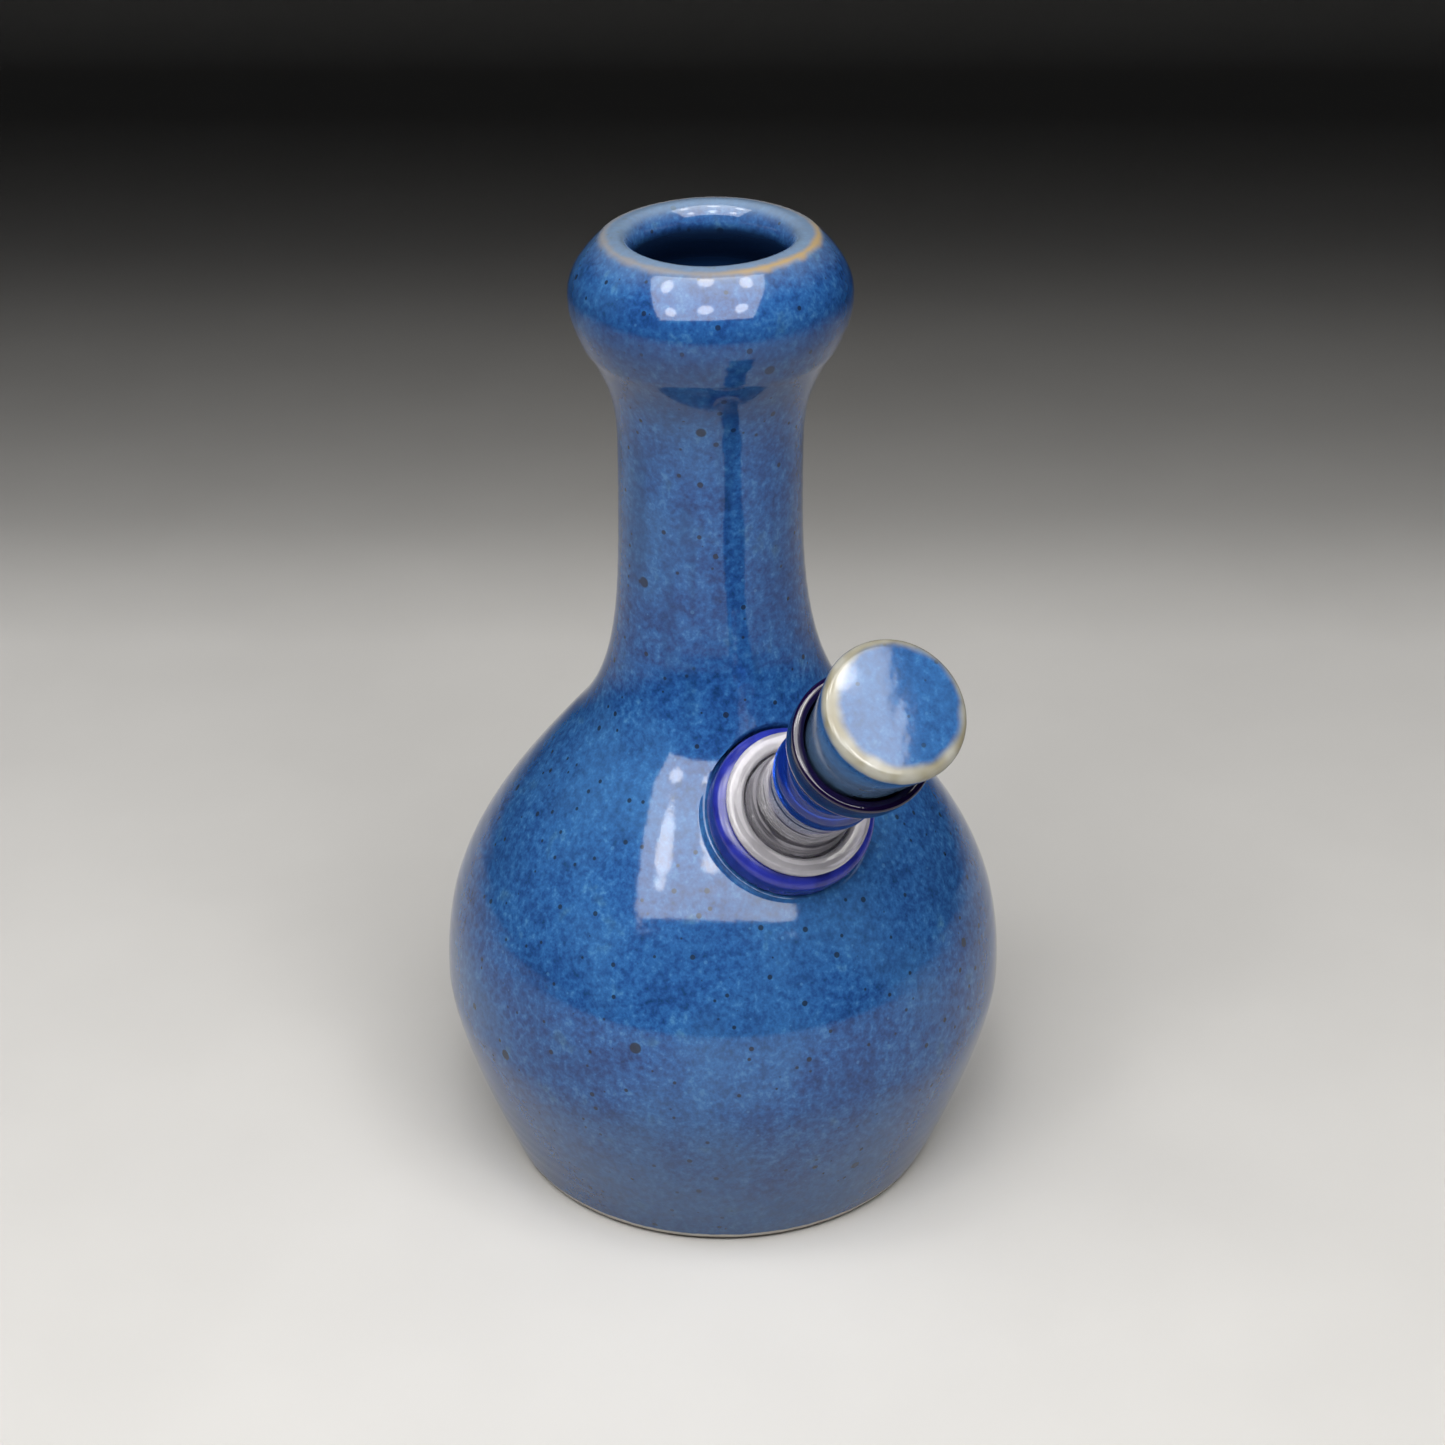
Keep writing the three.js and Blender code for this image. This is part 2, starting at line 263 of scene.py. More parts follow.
def new_object(name, vertices, faces, place=None, sharp_degrees=40):
    """A mesh object from vertices in millimetres."""
    mesh = bpy.data.meshes.new(name)
    mesh.from_pydata((np.asarray(vertices) * MM).tolist(), [], [list(map(int, f)) for f in faces])
    mesh.validate()
    mesh.shade_smooth()
    mesh.set_sharp_from_angle(angle=math.radians(sharp_degrees))
    made = bpy.data.objects.new(name, mesh)
    bpy.context.scene.collection.objects.link(made)
    if place is not None:
        made.matrix_world = place
    return made


def turned_mesh(points, columns, wave=None):
    """Vertices and faces of an outline turned about +Z.

    The outline runs up outside and down inside. It starts and ends on the axis, or closes onto itself.
    wave(radius, height, turn) may move each ring's points.
    """
    solid = points[0][0] < 1e-6
    body = points[1:-1] if solid else points
    turns = 2 * np.pi * np.arange(columns) / columns
    radius, turn = np.meshgrid(body[:, 0], turns, indexing="ij")
    height = np.meshgrid(body[:, 1], turns, indexing="ij")[0]
    if wave is not None:
        radius, height = wave(radius, height, turn)
    rings = np.stack([radius * np.cos(turn), radius * np.sin(turn), height], axis=-1)
    vertices = rings.reshape(-1, 3)
    rows = len(body)
    faces = []
    for r in range(rows - 1 if solid else rows):
        here = r * columns
        above = ((r + 1) % rows) * columns
        for c in range(columns):
            d = (c + 1) % columns
            faces.append((here + c, here + d, above + d, above + c))
    if solid:
        first, last = len(vertices), len(vertices) + 1
        vertices = np.vstack([vertices, [0, 0, points[0][1]], [0, 0, points[-1][1]]])
        top = (rows - 1) * columns
        for c in range(columns):
            d = (c + 1) % columns
            faces.append((first, d, c))
            faces.append((last, top + c, top + d))
    return vertices, faces


def turned(name, points, wave=None):
    """A turned piece on the stem axis."""
    vertices, faces = turned_mesh(points, STEM_COLUMNS, wave)
    return new_object(name, vertices, faces, STEM_PLACE)


# ---- Bottle ----

def bottle_profile():
    """The bottle's outline in three stretches: up the outside, over the lip, and down the inside."""
    foot_side = (FOOT_R, FOOT_BEVEL)
    foot_rise = heading(FOOT_RISE)
    rise = heading(SHOULDER_RISE)
    ridge_z = HEIGHT - LIP_RIDGE_DROP - LIP_RIDGE_R
    ridge = arc((LIP_R, ridge_z), LIP_RIDGE_R, LIP_RISE - 90, 92, 8)
    outer = outline(
        bend((FOOT_R - FOOT_BEVEL, 0), heading(25), 0.9, foot_side, foot_rise, 0.7, 8),
        bend(foot_side, foot_rise, 8, BELLY, UP, 8, 60),
        bend(BELLY, UP, 18.5, SHOULDER, rise, 29.4, 90),
        bend(SHOULDER, rise, 15, NECK, UP, 25.5, 80),
        bend(NECK, UP, 16, GARLIC, UP, 9, 60),
        bend(GARLIC, UP, 4, ridge[0], heading(LIP_RISE), 3.9, 30),
    )
    inner_shoulder = np.array(SHOULDER) + heading(SHOULDER_RISE + 90) * WALL
    inner_belly = (BELLY[0] - WALL, BELLY[1])
    floor_edge = (BELLY[0] * 0.62, FLOOR)
    inner_garlic = (GARLIC[0] - GARLIC_WALL, GARLIC[1] - 2)
    inner_neck = (NECK[0] - WALL, NECK[1])
    crest = (CREST_R, HEIGHT)
    throat = (THROAT_R, HEIGHT - THROAT_DROP)
    lip = outline(
        ridge,
        bend(ridge[-1], heading(178), 0.6, crest, heading(180), 0.8, 8),
        bend(crest, heading(180), 1.5, throat, DOWN, 2.3, 16),
    )
    inner = outline(
        bend(throat, DOWN, 4, inner_garlic, DOWN, 3, 30),
        bend(inner_garlic, DOWN, 8, inner_neck, DOWN, 12, 50),
        bend(inner_neck, DOWN, 26, inner_shoulder, -rise, 14, 60),
        bend(inner_shoulder, -rise, 26, inner_belly, DOWN, 17, 60),
        bend(inner_belly, DOWN, 16, floor_edge, heading(180), 11, 50),
    )
    return outer, lip, inner


def thrown(height, turn):
    """Unevenness that throwing leaves outside: finger rings, a slow swell and two single rings."""
    strength = 0.55 + 0.45 * np.sin(height / 9.0 + 1.0)
    rings = 0.016 * np.sin(2 * np.pi * height / 3.4 + turn) * strength
    swell = 0.13 * np.sin(2 * turn + 0.7 + height / 40) + 0.07 * np.sin(3 * turn + 2 + height / 23)
    belly_ring = 0.05 * np.exp(-((height - 51.5 - 0.5 * np.sin(turn)) / 2.2) ** 2)
    garlic_ring = 0.20 * np.exp(-((height - 159.2) / 1.2) ** 2)
    fade = smoothstep(height, 1.0, 6.0)
    return (rings + swell + belly_ring + garlic_ring) * fade


def lean(height):
    """Sideways drift of the bottle's axis at a height."""
    share = smoothstep(height, LEAN_START_Z, LEAN_END_Z)
    drift = heading(NECK_LEAN_DEG) * NECK_LEAN
    return share * drift[0], share * drift[1]


class Skin:
    """One side of the bottle's wall: radius by height, with the thrown unevenness and the lean."""

    def __init__(self, points, uneven):
        order = np.argsort(points[:, 1], kind="stable")
        self.heights = points[order, 1]
        self.radii = points[order, 0]
        self.uneven = uneven

    def radius(self, height, turn):
        plain = np.interp(height, self.heights, self.radii)
        return plain + self.uneven * thrown(height, turn)

    def beyond(self, x, y, z):
        """How far a point lies outside this skin, measured level with it."""
        dx, dy = lean(z)
        return np.hypot(x - dx, y - dy) - self.radius(z, np.arctan2(y - dy, x - dx))

    def along_stem(self, away, turn):
        """Distance along the stem axis at which a line parallel to it leaves this skin."""
        low = np.full(np.shape(away), SEARCH[0])
        high = np.full(np.shape(away), SEARCH[1])
        for _ in range(SEARCH_STEPS):
            middle = (low + high) / 2
            outside = self.beyond(*stem_point(away, turn, middle)) > 0
            high = np.where(outside, middle, high)
            low = np.where(outside, low, middle)
        return (low + high) / 2


STEM_FRAME = np.array(STEM_PLACE.to_3x3())
STEM_BASE = np.array(STEM_ORIGIN) / MM


def stem_point(away, turn, along):
    """World place, in millimetres, of a point given by its place about the stem axis."""
    local = np.stack([away * np.cos(turn), away * np.sin(turn), along], axis=0)
    return np.tensordot(STEM_FRAME, local, axes=1) + STEM_BASE.reshape((3,) + (1,) * (local.ndim - 1))


def stem_polar(points):
    """Distance from the stem axis, and turn about it, of points in millimetres."""
    local = (points - STEM_BASE) @ STEM_FRAME
    return np.hypot(local[:, 0], local[:, 1]), np.arctan2(local[:, 1], local[:, 0])


def soft_max(a, b, width):
    """The larger of two heights, with the crease between them rounded over a width."""
    overlap = np.maximum(width - np.abs(a - b), 0) / width
    return np.maximum(a, b) + overlap * overlap * width / 4


def soft_min(a, b, width):
    return -soft_max(-a, -b, width)


def outer_port(skin, away, turn):
    """The shoulder with its collar: raised where it is lower, cut flat where it rises past it."""
    shoulder = skin.along_stem(away, turn)
    edge = COLLAR_R - COLLAR_ROUND
    inset = np.clip(away - edge, 0, COLLAR_ROUND)
    rounding = COLLAR_ROUND - np.sqrt(COLLAR_ROUND ** 2 - inset ** 2)
    collar = COLLAR_TOP - rounding - 6.0 * np.clip(away - COLLAR_R, 0, None)
    seat = COLLAR_TOP + 8.0 * np.clip(away - SEAT_R, 0, None)
    return soft_min(soft_max(shoulder, collar, 0.6), seat, 0.4)


def inner_port(skin, away, turn):
    """The wall inside, thickened to a flat boss around the port."""
    wall = skin.along_stem(away, turn)
    boss = COLLAR_IN + 5.0 * np.clip(away - COLLAR_R, 0, None)
    return soft_min(wall, boss, 1.6)


def window_loop(first_row, columns):
    """Grid places around the port's window, in order, from the middle of its upper edge."""
    half = WINDOW_COLUMNS // 2
    last_row = first_row + WINDOW_ROWS
    right = [(last_row, c) for c in range(0, half)]
    down = [(r, half) for r in range(last_row, first_row, -1)]
    under = [(first_row, c) for c in range(half, -half, -1)]
    up = [(r, -half) for r in range(first_row, last_row)]
    left = [(last_row, c) for c in range(-half, 0)]
    return [(r, c % columns) for r, c in right + down + under + up + left]


def port_patch(shape, skin, loop_points, steady_turn):
    """Rings of points from the port's edge out to the window's edge, made anew on the skin."""
    far, far_turn = stem_polar(loop_points)
    far_turn = steady_turn + (far_turn - steady_turn + np.pi) % (2 * np.pi) - np.pi
    near = np.arange(PORT_R, PORT_PATCH_R, PATCH_STEP)
    spread = np.linspace(0, 1, 16)[1:-1] ** 1.15
    rings = []
    for away in near:
        share = PATCH_TURN * smoothstep(away, PORT_R, PORT_PATCH_R)
        turn = steady_turn + share * (far_turn - steady_turn)
        rings.append((np.full(len(far), away), turn))
    for step in spread:
        away = near[-1] + (far - near[-1]) * step
        turn = steady_turn + (PATCH_TURN + (1 - PATCH_TURN) * step) * (far_turn - steady_turn)
        rings.append((away, turn))
    away = np.array([r[0] for r in rings])
    turn = np.array([r[1] for r in rings])
    along = shape(skin, away, turn)
    return np.moveaxis(stem_point(away, turn, along), 0, -1)


def bottle():
    """The bottle: a turned grid with a window in each side of its wall, patched up to the port."""
    outer, lip, inner = bottle_profile()
    outer_rows = evenly(outer, BOTTLE_ROW)
    lip_rows = evenly(lip, LIP_ROW)[1:]
    inner_rows = evenly(inner, BOTTLE_ROW)[1:]
    base_rows = np.column_stack([np.linspace(HUB_R, FOOT_R - FOOT_BEVEL, 8)[:-1], np.zeros(7)])
    floor_rows = np.column_stack([np.linspace(inner[-1][0], HUB_R, 7)[1:], np.full(6, FLOOR)])
    rows = np.vstack([base_rows, outer_rows, lip_rows, inner_rows, floor_rows])
    is_outer = np.zeros(len(rows), bool)
    is_outer[len(base_rows):len(base_rows) + len(outer_rows)] = True

    turns = 2 * np.pi * np.arange(BOTTLE_COLUMNS) / BOTTLE_COLUMNS
    radius, turn = np.meshgrid(rows[:, 0], turns, indexing="ij")
    height = np.meshgrid(rows[:, 1], turns, indexing="ij")[0]
    mouth = smoothstep(height, HEIGHT - 9, HEIGHT - 2)
    radius = radius + np.where(is_outer[:, None], thrown(height, turn), 0) * (1 - mouth)
    height = height + mouth * (0.22 * np.sin(turn + 0.8) + 0.12 * np.sin(3 * turn))
    dx, dy = lean(height)
    grid = np.stack([radius * np.cos(turn) + dx, radius * np.sin(turn) + dy, height], axis=-1)

    vertices = list(grid.reshape(-1, 3))
    outer_start = len(base_rows) + int(np.argmin(np.abs(outer_rows[:, 1] - WINDOW_FOOT_Z)))
    inner_first = len(base_rows) + len(outer_rows) + len(lip_rows)
    inner_top = inner_first + int(np.argmin(np.abs(inner_rows[:, 1] - WINDOW_HEAD_Z)))
    half = WINDOW_COLUMNS // 2

    def at(r, c):
        return r * BOTTLE_COLUMNS + c % BOTTLE_COLUMNS

    def in_window(r, c):
        side = (c + half) % BOTTLE_COLUMNS < WINDOW_COLUMNS
        return side and (0 <= r - outer_start < WINDOW_ROWS or 0 <= r - inner_top < WINDOW_ROWS)

    faces = []
    for r in range(len(rows) - 1):
        for c in range(BOTTLE_COLUMNS):
            if not in_window(r, c):
                faces.append((at(r, c), at(r, c + 1), at(r + 1, c + 1), at(r + 1, c)))
    first, last = len(vertices), len(vertices) + 1
    vertices += [np.array([0, 0, 0.0]), np.array([0, 0, FLOOR])]
    for c in range(BOTTLE_COLUMNS):
        faces.append((first, at(0, c + 1), at(0, c)))
        faces.append((last, at(len(rows) - 1, c), at(len(rows) - 1, c + 1)))

    outer_loop = [at(r, c) for r, c in window_loop(outer_start, BOTTLE_COLUMNS)]
    flipped = window_loop(inner_top, BOTTLE_COLUMNS)
    inner_loop = [at(2 * inner_top + WINDOW_ROWS - r, c) for r, c in flipped]
    count = len(outer_loop)
    start_turn = stem_polar(np.array([vertices[outer_loop[0]]]))[1][0]
    quarter_turn = stem_polar(np.array([vertices[outer_loop[count // 4]]]))[1][0]
    sense = 1 if math.sin(quarter_turn - start_turn) > 0 else -1
    steady = start_turn + sense * 2 * np.pi * np.arange(count) / count

    edges = []
    for shape, skin, loop in (
        (outer_port, Skin(outer_rows, 1.0), outer_loop),
        (inner_port, Skin(inner_rows, 0.0), inner_loop),
    ):
        patch = port_patch(shape, skin, np.array([vertices[i] for i in loop]), steady)
        base = len(vertices)
        vertices += list(patch.reshape(-1, 3))
        rings = [[base + j * count + k for k in range(count)] for j in range(len(patch))]
        rings.append(loop)
        flip = (shape is inner_port) != (sense < 0)
        for inside, outside in zip(rings, rings[1:]):
            for k in range(count):
                m = (k + 1) % count
                quad = (inside[k], outside[k], outside[m], inside[m])
                faces.append(quad[::-1] if flip else quad)
        edges.append(rings[0])

    top, bottom = edges
    rings = [bottom]
    for step in range(1, BORE_LEVELS):
        base = len(vertices)
        for low, high in zip(bottom, top):
            vertices.append(vertices[low] + (vertices[high] - vertices[low]) * step / BORE_LEVELS)
        rings.append(list(range(base, base + count)))
    rings.append(top)
    for lower, upper in zip(rings, rings[1:]):
        for k in range(count):
            m = (k + 1) % count
            quad = (lower[m], lower[k], upper[k], upper[m])
            faces.append(quad[::-1] if sense < 0 else quad)

    used = np.unique(np.concatenate([np.array(f) for f in faces]))
    renumber = np.full(len(vertices), -1)
    renumber[used] = np.arange(len(used))
    vertices = np.array(vertices)[used]
    faces = [tuple(renumber[list(f)]) for f in faces]
    made = new_object("glazed_bottle", vertices, faces, sharp_degrees=60)
    # Painted shade: the 'inside' attribute marks where the inside of the mouth and the port's bore are
    # painted dark.
    inside = made.data.attributes.new("inside", "FLOAT", "POINT")
    inside.data.foreach_set("value", inside_painted_shade(vertices, outer_rows))
    return made


def inside_painted_shade(points, outer_rows):
    """From 0 on the glaze outside to 1 where painted shade darkens the inside of the mouth and the
    port's bore, for points of the bottle.
    """
    x, y, z = np.array(points).T
    depth = -Skin(outer_rows, 1.0).beyond(x, y, z)
    away, _ = stem_polar(np.array(points))
    painted_shade = smoothstep(depth, 1.5, 3.0) * smoothstep(HEIGHT - z, 2.6, 4.8)
    return np.maximum(painted_shade, smoothstep(PORT_R + 0.1 - away, 0, 0.05) * (z > 60))


# ---- Stem pieces ----

GROMMET_SEAT = COLLAR_TOP + GAP
GROMMET_TOP = GROMMET_SEAT + GROMMET_FLANGE
RIM_SEAT = GROMMET_TOP + GAP
RIM_TOP = RIM_SEAT + RIM_HEIGHT
JOINT_TOP = RIM_TOP - 1.2
JOINT_BOTTOM = JOINT_TOP - JOINT_LENGTH


def joint_radius(along):
    """Radius of the ground taper at a place along the stem axis."""
    return JOINT_R - JOINT_TAPER * (JOINT_TOP - along)


def grommet():
    back = COLLAR_IN - GAP
    bottom = back - GROMMET_BACK
    widest = (GROMMET_FLANGE_R, GROMMET_SEAT + GROMMET_EDGE)
    return turned("rubber_grommet", outline(
        (GROMMET_BORE_R + 0.3, bottom),
        arc((GROMMET_BACK_R - 0.9, bottom + 0.9), 0.9, -90, 0, 8),
        (GROMMET_BACK_R, back),
        (PORT_R - GAP, back),
        (PORT_R - GAP, GROMMET_SEAT),
        arc((GROMMET_FLANGE_R - 0.4, GROMMET_SEAT + 0.4), 0.4, -90, 0, 5),
        bend(widest, UP, 1.2, (GROMMET_TOP_R, GROMMET_TOP), heading(168), 0.9, 20),
        arc((GROMMET_BORE_R + 0.4, GROMMET_TOP - 0.4), 0.4, 90, 180, 5),
        (GROMMET_BORE_R, bottom + 0.3),
    ))


def downstem_glass():
    weld = TUBE_TOP + 0.05
    landing = JOINT_BOTTOM - 1
    rim = 0.8
    mouth = JOINT_R + GAP
    taper_end = joint_radius(landing) + GAP
    return turned("downstem_glass", outline(
        (TUBE_R, weld),
        bend((TUBE_R, weld + 1), UP, 3, (SOCKET_R, SOCKET_BODY_END), UP, 3, 16),
        (SOCKET_R, RIM_SEAT - 0.5),
        arc((SOCKET_R + 0.5, RIM_SEAT - 0.5), 0.5, 180, 90, 5),
        arc((RIM_R - rim, RIM_SEAT + rim), rim, -90, 0, 8),
        arc((RIM_R - rim, RIM_TOP - rim), rim, 0, 90, 8),
        bend((mouth + 0.9, RIM_TOP), heading(180), 0.6, (mouth, RIM_TOP - 1.3), DOWN, 0.6, 8),
        (taper_end, landing),
        bend((taper_end - 0.2, landing - 0.5), DOWN, 2, (TUBE_BORE_R, weld + 2), DOWN, 2, 10),
        (TUBE_BORE_R, weld),
    ))


def downstem_pipe():
    """The tube down into the chamber. Its far end has open slits between fire-polished fingers."""
    edge = 0.35
    slit_turn = SLIT_WIDTH / 2 / TUBE_R
    finger = 2 * np.pi / SLIT_COUNT
    across = 8
    levels = arc((0, TUBE_END + edge), edge, -90, -10, 3)[:, 1]
    heights = np.unique(np.r_[levels, np.linspace(TUBE_END + edge, TUBE_END + SLIT_HEIGHT, 10)])
    turns = []
    for k in range(SLIT_COUNT):
        start = k * finger + slit_turn
        turns += list(np.linspace(start, (k + 1) * finger - slit_turn, across + 1))
    turns = np.array(turns)
    columns = len(turns)
    per = across + 1
    upper = np.r_[TUBE_END + SLIT_HEIGHT + 1.0, np.linspace(TUBE_END + SLIT_HEIGHT + 5, TUBE_TOP, 10)]
    vertices = []
    index = {}

    def add(side, level, column, radius, height):
        turn = turns[column]
        index[side, level, column] = len(vertices)
        vertices.append((radius * math.cos(turn), radius * math.sin(turn), height))

    all_heights = np.r_[heights, upper]
    for level, height in enumerate(all_heights):
        pull = max(0.0, edge - (height - TUBE_END))
        inset = edge - math.sqrt(max(edge * edge - pull * pull, 0))
        for column in range(columns):
            add("out", level, column, TUBE_R - inset, height)
            add("in", level, column, TUBE_BORE_R + inset, height)
    faces = []
    slit_level = len(heights) - 1
    for level in range(len(all_heights) - 1):
        for column in range(columns):
            ahead = (column + 1) % columns
            in_slit = column % per == per - 1 and level < slit_level
            if in_slit:
                continue
            faces.append([index["out", level, column], index["out", level, ahead],
                          index["out", level + 1, ahead], index["out", level + 1, column]])
            faces.append([index["in", level, ahead], index["in", level, column],
                          index["in", level + 1, column], index["in", level + 1, ahead]])
    for column in range(columns):
        ahead = (column + 1) % columns
        top = len(all_heights) - 1
        faces.append([index["out", top, column], index["out", top, ahead],
                      index["in", top, ahead], index["in", top, column]])
        if column % per == per - 1:
            faces.append([index["out", slit_level, ahead], index["out", slit_level, column],
                          index["in", slit_level, column], index["in", slit_level, ahead]][::-1])
            for level in range(slit_level):
                faces.append([index["out", level, column], index["in", level, column],
                              index["in", level + 1, column], index["out", level + 1, column]])
                faces.append([index["in", level, ahead], index["out", level, ahead],
                              index["out", level + 1, ahead], index["in", level + 1, ahead]])
        else:
            faces.append([index["in", 0, column], index["in", 0, ahead],
                          index["out", 0, ahead], index["out", 0, column]])
    return new_object("downstem_pipe", vertices, faces, STEM_PLACE)


def slide_joint():
    low = JOINT_BOTTOM
    return turned("slide_ground_joint", outline(
        arc((SLIDE_BORE_R + 0.4, low + 0.4), 0.4, 180, 270, 4),
        arc((joint_radius(low) - 0.5, low + 0.5), 0.5, -90, 0, 5),
        (joint_radius(JOINT_TOP - 0.4), JOINT_TOP - 0.4),
        bend((JOINT_R, JOINT_TOP), UP, 2, (SLIDE_TUBE_R, JOINT_TOP + 4.5), UP, 2, 12),
        (SLIDE_TUBE_R, SLIDE_TUBE_END + 0.12),
        (SLIDE_BORE_R, SLIDE_TUBE_END + 0.12),
    ))


def slide_neck():
    start = SLIDE_TUBE_END + 0.2
    middle = (BEAD_R, SLIDE_TUBE_END + GAP + BEAD_LENGTH / 2)
    saddle = (BEAD_R - 0.55, middle[1] + BEAD_LENGTH / 2)
    waist = (WAIST_R, WAIST_AT)
    end = NECK_END + 0.12
    return turned("slide_blue_neck", outline(
        (SLIDE_BORE_R, start),
        (SLIDE_TUBE_R - 0.2, start),
        bend((SLIDE_TUBE_R, start + 0.25), heading(50), 1.2, middle, UP, 1.3, 12),
        bend(middle, UP, 1.3, saddle, heading(118), 1, 12),
        bend(saddle, heading(118), 0.9, waist, UP, 1, 10),
        bend(waist, UP, 1.5, (NECK_END_R, end), heading(60), 1.5, 12),
        (NECK_BORE_R, end),
        bend((NECK_BORE_R, end - 2), DOWN, 3, (SLIDE_BORE_R, start + 2), DOWN, 2, 12),
    ))


def slide_bowl():
    start = NECK_END + 0.2
    seat_edge = (BOWL_SEAT_R - 0.3, BOWL_SEAT - 1)
    lip_round = (BOWL_LIP_R - BOWL_MOUTH_R) / 2
    lip = (BOWL_LIP_R - lip_round, BOWL_TOP - BOWL_LIP_CROWN)
    lip_side = (BOWL_LIP_R, lip[1] - 0.3)
    crown = arc((0, 0), 1, 0, 180, 24) * (lip_round, BOWL_LIP_CROWN) + lip
    return turned("slide_cobalt_bowl", outline(
        (BOWL_HOLE_R, start),
        (NECK_END_R, start),
        bend((NECK_END_R + 0.1, start + 0.2), heading(60), 4, lip_side, UP, 4.5, 24),
        crown,
        (BOWL_SEAT_R, BOWL_SEAT),
        bend(seat_edge, heading(-100), 2, (BOWL_HOLE_R, BOWL_FLOOR), heading(190), 4, 18),
    ))


def stopper():
    edge = (CAP_R, CAP_EDGE - CAP_ROUND)
    face_r = CAP_R - CAP_ROUND
    flare = heading(81)

    def uneven(radius, height, turn):
        """The cut and sponged edge is not quite round or level."""
        share = smoothstep(height, PLUG_BOTTOM + 6, CAP_EDGE - 2)
        oval = 0.006 * np.sin(2 * turn + 0.5) + 0.004 * np.sin(3 * turn)
        radius = radius * (1 + share * oval)
        tilt = 0.16 * np.sin(turn + 0.4) + 0.06 * np.sin(2 * turn)
        height = height + share * radius / CAP_R * tilt
        return radius, height

    rim = bend(edge, UP, 0.9, (face_r, CAP_EDGE), heading(174), 0.9, 14)
    face = bend((face_r, CAP_EDGE), heading(174), 3.2, (0.8, CAP_EDGE + CAP_DOME), heading(180), 4, 22)
    return turned("ceramic_stopper", outline(
        (0, PLUG_BOTTOM),
        np.column_stack([np.linspace(1.5, PLUG_R - 0.9, 6), np.full(6, PLUG_BOTTOM)]),
        arc((PLUG_R - 0.8, PLUG_BOTTOM + 0.8), 0.8, -80, -9, 5),
        bend((PLUG_R, PLUG_BOTTOM + 0.8), flare, 5, edge, flare, 5, 30),
        rim,
        face,
        (0, CAP_EDGE + CAP_DOME),
    ), wave=uneven)


# ======================================================================================
# Materials
# ======================================================================================

class Shader:
    """A material and short ways to add nodes to it. An input takes a number, a colour or a socket."""

    def __init__(self, name):
        self.material = bpy.data.materials.new(name)
        self.material.use_nodes = True
        self.tree = self.material.node_tree
        self.tree.nodes.clear()
        self.surface = self.tree.nodes.new("ShaderNodeBsdfPrincipled")
        output = self.tree.nodes.new("ShaderNodeOutputMaterial")
        self.tree.links.new(self.surface.outputs[0], output.inputs["Surface"])

    def set(self, node, key, value):
        socket = node.inputs[key]
        if isinstance(value, bpy.types.NodeSocket):
            self.tree.links.new(value, socket)
        else:
            socket.default_value = value

    def add(self, kind, inputs=(), **properties):
        node = self.tree.nodes.new(kind)
        for key, value in properties.items():
            setattr(node, key, value)
        for key, value in dict(inputs).items():
            self.set(node, key, value)
        return node

    def place(self, stretch=(1, 1, 1)):
        """The piece's own coordinates in millimetres, stretched."""
        own = self.add("ShaderNodeTexCoord").outputs["Object"]
        scale = Vector(stretch) / MM
        return self.add("ShaderNodeVectorMath", {0: own, 1: scale}, operation="MULTIPLY").outputs[0]

    def noise(self, place, size, detail=2.0, roughness=0.5, distortion=0.0):
        """Noise with features of about the given size in millimetres."""
        node = self.add("ShaderNodeTexNoise", {
            "Vector": place, "Scale": 1 / size, "Detail": detail,
            "Roughness": roughness, "Distortion": distortion})
        return node.outputs["Fac"]

    def math(self, operation, a, b=0.0, c=0.0):
        return self.add("ShaderNodeMath", {0: a, 1: b, 2: c}, operation=operation).outputs[0]

    def between(self, value, low, high, to_low=0.0, to_high=1.0):
        """Maps a value smoothly from low..high."""
        node = self.add("ShaderNodeMapRange", {
            "Value": value, "From Min": low, "From Max": high, "To Min": to_low, "To Max": to_high},
            interpolation_type="SMOOTHSTEP")
        return node.outputs["Result"]

    def ramp(self, factor, *stops):
        node = self.add("ShaderNodeValToRGB", {"Fac": factor})
        elements = node.color_ramp.elements
        while len(elements) < len(stops):
            elements.new(0.5)
        for element, (position, colour) in zip(elements, stops):
            element.position = position
            element.color = (*colour, 1)
        return node.outputs["Color"]

    def mix(self, factor, a, b):
        node = self.add("ShaderNodeMix", data_type="RGBA")
        for key, value in ((0, factor), (6, a), (7, b)):
            colour = (*value, 1) if isinstance(value, tuple) and len(value) == 3 else value
            self.set(node, key, colour)
        return node.outputs[2]

    def bump(self, height, distance, strength):
        inputs = {"Height": height, "Distance": distance * MM, "Strength": strength}
        return self.add("ShaderNodeBump", inputs).outputs["Normal"]

    def finish(self, **inputs):
        for key, value in inputs.items():
            name = key.replace("_", " ")
            if isinstance(value, tuple) and len(value) == 3:
                value = (*value, 1)
            self.set(self.surface, name, value)
        return self.material


DEEP = (0.005, 0.026, 0.095)
COBALT = (0.012, 0.050, 0.188)
AZURE = (0.020, 0.094, 0.285)
PALE_BLUE = (0.068, 0.200, 0.400)
# painted shade inside the mouth and the port's bore
INSIDE_PAINTED_SHADE = (0.003, 0.005, 0.014)
# painted shade toward the foot
LOW_PAINTED_SHADE = (0.0, 0.028, 0.095)
IRON = (0.010, 0.011, 0.016)
OLIVE = (0.030, 0.060, 0.070)
STRAW = (0.38, 0.27, 0.12)
ASH = (0.22, 0.29, 0.36)
CREAM = (0.30, 0.29, 0.24)
TAN = (0.21, 0.185, 0.11)
CLAY = (0.44, 0.41, 0.37)
